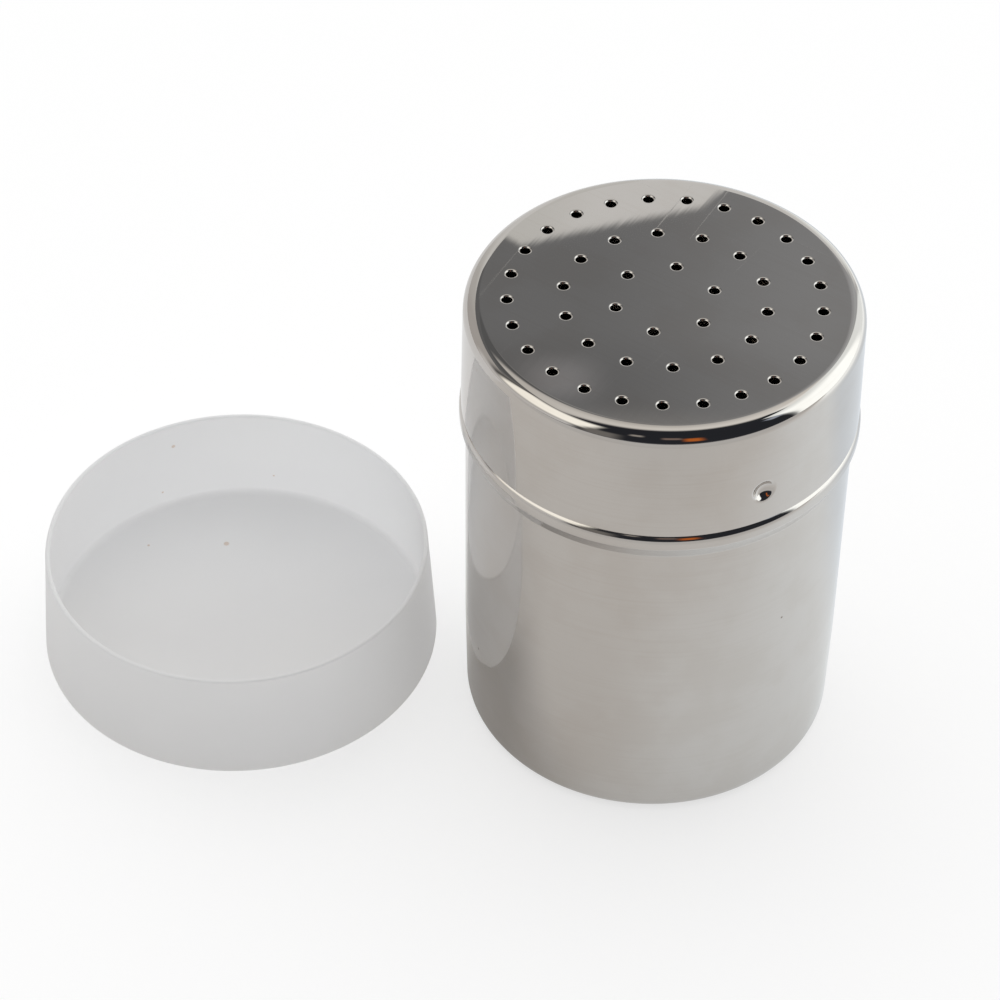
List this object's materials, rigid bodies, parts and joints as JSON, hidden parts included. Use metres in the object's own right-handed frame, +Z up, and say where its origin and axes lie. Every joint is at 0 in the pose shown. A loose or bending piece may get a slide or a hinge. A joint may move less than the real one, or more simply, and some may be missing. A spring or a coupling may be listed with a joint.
{
  "type": "spice shaker",
  "caption": "Polished steel twist-lock spice shaker: drawn cup, lid pierced with rings of sprinkle holes, and a translucent dust cap lying beside it, open side up.",
  "frame": {"origin": "centre of the cup's base, on the surface that the shaker stands on", "axes": "+Z up the shaker's axis to the pierced lid; -X towards the dust cap lying beside the shaker; +Y away from the side that carries the first pip"},
  "size_m": [0.1515, 0.0855, 0.095],
  "materials": {
    "cup_steel": "polished stainless steel",
    "lid_steel": "polished stainless steel with faint rubbing marks",
    "cap_plastic": "natural translucent polyethylene, satin"
  },
  "bodies": {
    "cup": {"shaker_cup": "cup_steel"},
    "lid": {"sifter_lid": "lid_steel"},
    "cap": {"dust_cap": "cap_plastic"}
  },
  "joints": [
    {"name": "lid_lift", "type": "slide", "parent": "cup", "child": "lid", "axis": [0, 0, 1], "range_m": [0, 0.05]},
    {"name": "cap_lift", "type": "slide", "parent": "cup", "child": "cap", "axis": [0, 0, 1], "range_m": [0, 0.11]}
  ]
}
